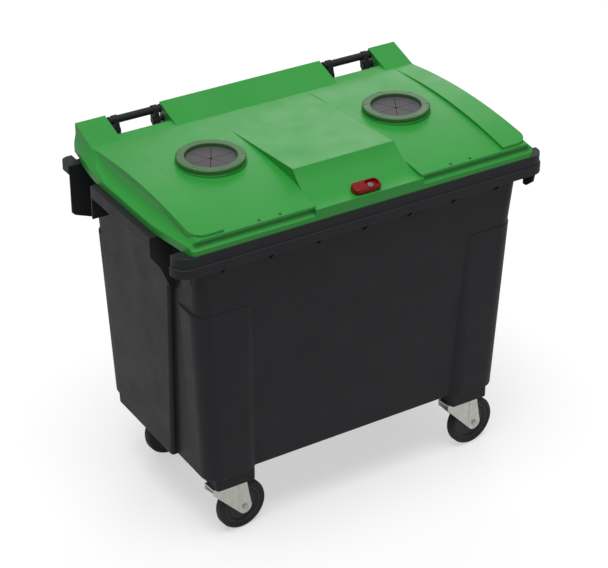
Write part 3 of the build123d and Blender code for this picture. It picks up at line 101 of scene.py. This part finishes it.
class Nodes:
    """Short way to build a node tree."""

    def __init__(self, name):
        self.material = bpy.data.materials.new(name)
        self.material.use_nodes = True
        self.tree = self.material.node_tree
        self.tree.nodes.clear()
        self.output = self.add("ShaderNodeOutputMaterial")
        self.shader = self.add("ShaderNodeBsdfPrincipled")
        self.link(self.shader, "BSDF", self.output, "Surface")
        self.coords = self.add("ShaderNodeTexCoord")

    def add(self, kind, **values):
        node = self.tree.nodes.new(kind)
        for key, value in values.items():
            setattr(node, key, value)
        return node

    def link(self, node, out, target, into):
        self.tree.links.new(node.outputs[out], target.inputs[into])

    def noise(self, scale, detail=NOISE_DETAIL, roughness=NOISE_ROUGHNESS):
        node = self.add("ShaderNodeTexNoise")
        node.inputs["Scale"].default_value = scale
        node.inputs["Detail"].default_value = detail
        node.inputs["Roughness"].default_value = roughness
        self.link(self.coords, "Object", node, "Vector")
        return node

    def spread(self, node, out, low, high, from_low=NOISE_LOW, from_high=NOISE_HIGH):
        ranged = self.add("ShaderNodeMapRange")
        ranged.inputs["From Min"].default_value = from_low
        ranged.inputs["From Max"].default_value = from_high
        ranged.inputs["To Min"].default_value = low
        ranged.inputs["To Max"].default_value = high
        self.link(node, out, ranged, "Value")
        return ranged

    def blend(self, factor, out, first, second):
        mix = self.add("ShaderNodeMix", data_type="RGBA")
        mix.inputs[MIX_FIRST].default_value = first
        mix.inputs[MIX_SECOND].default_value = second
        self.link(factor, out, mix, MIX_FACTOR)
        return mix

    def mottled(self, colour, share, cloud):
        """Colour that wanders by a share to both sides."""
        factor = self.spread(self.noise(**cloud), "Fac", 0, 1)
        return self.blend(factor, "Result", scaled(colour, 1 - share), scaled(colour, 1 + share))

    def hazy(self, roughness, haze, limits):
        """Roughness that wanders between the limits."""
        low, high = limits
        rough = self.spread(self.noise(**haze), "Fac", roughness + low, roughness + high)
        self.link(rough, "Result", self.shader, "Roughness")

    def bevel(self, radius, samples):
        node = self.add("ShaderNodeBevel", samples=samples)
        node.inputs["Radius"].default_value = radius
        return node

    def skin(self, edge, scale, strength, depth):
        """Softened edges under a fine grain."""
        bump = self.add("ShaderNodeBump")
        bump.inputs["Strength"].default_value = strength
        bump.inputs["Distance"].default_value = depth
        self.link(self.noise(scale, GRAIN_DETAIL), "Fac", bump, "Height")
        self.link(self.bevel(edge, EDGE_SAMPLES), "Normal", bump, "Normal")
        self.link(bump, "Normal", self.shader, "Normal")

    def painted_edge_highlight(self, mix, colour):
        """Colour that turns lighter along the edges: a painted highlight standing in for the light the
        edges catch.
        """
        surface = self.add("ShaderNodeNewGeometry")
        turn = self.add("ShaderNodeVectorMath", operation="DOT_PRODUCT")
        self.link(self.bevel(EDGE_HIGHLIGHT_REACH, EDGE_HIGHLIGHT_SAMPLES), "Normal", turn, 0)
        self.link(surface, "True Normal", turn, 1)
        share = self.spread(turn, "Value", 0, 1, EDGE_HIGHLIGHT_START, EDGE_HIGHLIGHT_FULL)
        highlighted = self.blend(share, "Result", colour, colour)
        self.link(mix, MIX_RESULT, highlighted, MIX_FIRST)
        return highlighted


def plastic(name, colour, roughness, grain=0.25, grain_size=0.0012, mottle=0.05, edge=0.0015,
            specular=0.5, painted_edge_highlight=None):
    """Moulded plastic: a fine grain, slightly uneven colour and gloss, softened edges."""
    n = Nodes(name)
    mix = n.mottled(colour, mottle, PLASTIC_CLOUD)
    # A painted highlight along the edges, when a highlight colour is given
    if painted_edge_highlight:
        mix = n.painted_edge_highlight(mix, painted_edge_highlight)
    n.link(mix, MIX_RESULT, n.shader, "Base Color")
    n.hazy(roughness, PLASTIC_HAZE, PLASTIC_HAZE_RANGE)
    n.shader.inputs["Specular IOR Level"].default_value = specular
    n.skin(edge, 1 / grain_size, grain, PLASTIC_GRAIN_DEPTH)
    return n.material


def metal(name, colour, roughness, spots=0.08, edge=0.0006):
    """Plated steel with cloudy plating."""
    n = Nodes(name)
    n.link(n.mottled(colour, spots, METAL_CLOUD), MIX_RESULT, n.shader, "Base Color")
    n.shader.inputs["Metallic"].default_value = 1
    n.hazy(roughness, METAL_HAZE, METAL_HAZE_RANGE)
    n.skin(edge, METAL_GRAIN_SCALE, METAL_GRAIN, METAL_GRAIN_DEPTH)
    return n.material


# The tub's edges carry a painted highlight in a lighter grey
TUB = plastic("tub_black", srgb(39, 40, 43), roughness=0.5, grain=0.3, mottle=0.06, edge=0.003,
              specular=0.25, painted_edge_highlight=srgb(66, 67, 70))
LID = plastic("lid_green", srgb(44, 157, 58), roughness=0.4, grain=0.12, mottle=0.03, edge=0.003)
RING = plastic("ring_green", srgb(58, 108, 54), roughness=0.4, grain=0.2, edge=0.001)
ROSETTE = plastic("rosette_rubber", srgb(84, 80, 85), roughness=0.62, grain=0.3, mottle=0.08, edge=0.0006)
BLACK = plastic("black_plastic", srgb(32, 32, 34), roughness=0.48, edge=0.001, specular=0.3)
SEAL = plastic("seal_rubber", srgb(24, 24, 25), roughness=0.7, grain=0.3, edge=0.0005)
RED = plastic("lock_red", srgb(132, 10, 8), roughness=0.34, grain=0.05, mottle=0.04, edge=0.001,
              specular=0.3)
NYLON = plastic("nylon", srgb(205, 202, 190), roughness=0.45, grain=0.1, edge=0.0004)
RIMS = plastic("wheel_plastic", srgb(34, 34, 36), roughness=0.5, grain=0.3, edge=0.001)
TYRE = plastic("tyre_rubber", srgb(27, 27, 29), roughness=0.62, grain=0.5, grain_size=0.0025,
               mottle=0.12, edge=0.001)
ZINC = metal("zinc_steel", srgb(222, 222, 214), roughness=0.5)
SCREW = metal("screw_steel", srgb(200, 200, 194), roughness=0.4, edge=0.0004)
WING_SCREW = plastic("painted_screw", srgb(22, 84, 34), roughness=0.5, grain=0.05, edge=0.0004)
CHROME = metal("lock_metal", srgb(215, 215, 212), roughness=0.22, spots=0.03, edge=0.0003)

by_prefix = {
    "tub": TUB, "handle_bar_caps": BLACK, "handle_bar": TUB, "hinge_pins": BLACK, "hinge_bushes": BLACK,
    "drain_plug": BLACK, "drain_seal": SEAL, "lock_striker": ZINC, "striker_screws": SCREW,
    "caster_bolts": SCREW, "caster_plate": ZINC, "swivel_balls": SCREW, "kingpin": ZINC, "fork": ZINC,
    "axle_bolt": SCREW, "wheel_rim": RIMS, "tyre": TYRE, "wheel_bearing": NYLON, "lid": LID,
    "inlet_ring": RING, "rosette": ROSETTE, "clamp_ring": BLACK, "ring_screws": SCREW,
    "wing_screws": WING_SCREW, "lock_housing": RED, "lock_barrel": CHROME, "lock_cam_screw": SCREW,
    "lock_cam": ZINC,
}
for node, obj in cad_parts.items():
    key = max((prefix for prefix in by_prefix if node.startswith(prefix)), key=len)
    obj.data.materials.clear()
    obj.data.materials.append(by_prefix[key])


def put_in_scene(name, data):
    obj = bpy.data.objects.new(name, data)
    bpy.context.scene.collection.objects.link(obj)
    return obj


def build_floor():
    """Floor that the camera sees white, that lights the object plainly and keeps its shadow."""
    mesh = bpy.data.meshes.new("floor")
    far = FLOOR_REACH
    mesh.from_pydata([(-far, -far, 0), (far, -far, 0), (far, far, 0), (-far, far, 0)], [], [(0, 1, 2, 3)])
    floor = put_in_scene("floor", mesh)
    n = Nodes("floor_pale")
    path = n.add("ShaderNodeLightPath")
    seen = n.add("ShaderNodeMath", operation="MULTIPLY_ADD")
    n.link(path, "Is Glossy Ray", seen, 0)
    seen.inputs[1].default_value = GLOSSY_SHARE
    n.link(path, "Is Camera Ray", seen, 2)
    tone = n.blend(seen, "Value", FLOOR_LIT, FLOOR_SEEN)
    n.link(tone, MIX_RESULT, n.shader, "Base Color")
    glow = n.blend(seen, "Value", NO_GLOW, WHITE)
    n.link(glow, MIX_RESULT, n.shader, "Emission Color")
    n.shader.inputs["Emission Strength"].default_value = FLOOR_GLOW
    n.shader.inputs["Roughness"].default_value = FLOOR_ROUGHNESS
    n.shader.inputs["Specular IOR Level"].default_value = 0
    mesh.materials.append(n.material)


def build_world():
    """Soft light on the object, white behind it."""
    world = bpy.data.worlds.new("studio")
    bpy.context.scene.world = world
    world.use_nodes = True
    nodes, links = world.node_tree.nodes, world.node_tree.links
    nodes.clear()
    out = nodes.new("ShaderNodeOutputWorld")
    mix = nodes.new("ShaderNodeMixShader")
    for number, strength in enumerate((WORLD_LIGHT, WORLD_SEEN), 1):
        background = nodes.new("ShaderNodeBackground")
        background.inputs["Color"].default_value = WHITE
        background.inputs["Strength"].default_value = strength
        links.new(background.outputs[0], mix.inputs[number])
    path = nodes.new("ShaderNodeLightPath")
    seen = nodes.new("ShaderNodeMath")
    seen.operation = "MAXIMUM"
    links.new(path.outputs["Is Camera Ray"], seen.inputs[0])
    links.new(path.outputs["Is Transmission Ray"], seen.inputs[1])
    links.new(seen.outputs[0], mix.inputs[0])
    links.new(mix.outputs[0], out.inputs[0])


def aim(lamp, direction):
    lamp.rotation_euler = Vector(direction).to_track_quat("-Z", "Y").to_euler()


def build_lamps():
    """Soft distant lamp overhead and a square studio lamp behind the object."""
    data = bpy.data.lights.new("key", "SUN")
    data.energy = KEY_STRENGTH
    data.angle = KEY_SPREAD
    aim(put_in_scene("key", data), KEY_DIRECTION)
    data = bpy.data.lights.new("back", "AREA")
    data.size = BACK_SIZE
    data.energy = BACK_POWER
    lamp = put_in_scene("back", data)
    lamp.location = BACK_PLACE
    aim(lamp, Vector(BACK_TARGET) - Vector(BACK_PLACE))


def build_camera():
    yaw, pitch = CAMERA_YAW, CAMERA_PITCH
    right = Vector((cos(yaw), -sin(yaw), 0))
    forward = Vector((sin(yaw) * cos(pitch), cos(yaw) * cos(pitch), -sin(pitch)))
    up = right.cross(forward)
    data = bpy.data.cameras.new("camera")
    data.sensor_width = SENSOR_WIDTH
    data.lens = FOCAL_PIXELS * SENSOR_WIDTH / PHOTO_WIDTH
    data.clip_end = FAR_CLIP
    camera = put_in_scene("camera", data)
    turn = Matrix((right, up, -forward)).transposed().to_4x4()
    camera.matrix_world = Matrix.Translation(CAMERA_PLACE) @ turn
    bpy.context.scene.camera = camera


build_floor()
build_world()
build_lamps()
build_camera()
bpy.context.scene.view_settings.view_transform = "Standard"
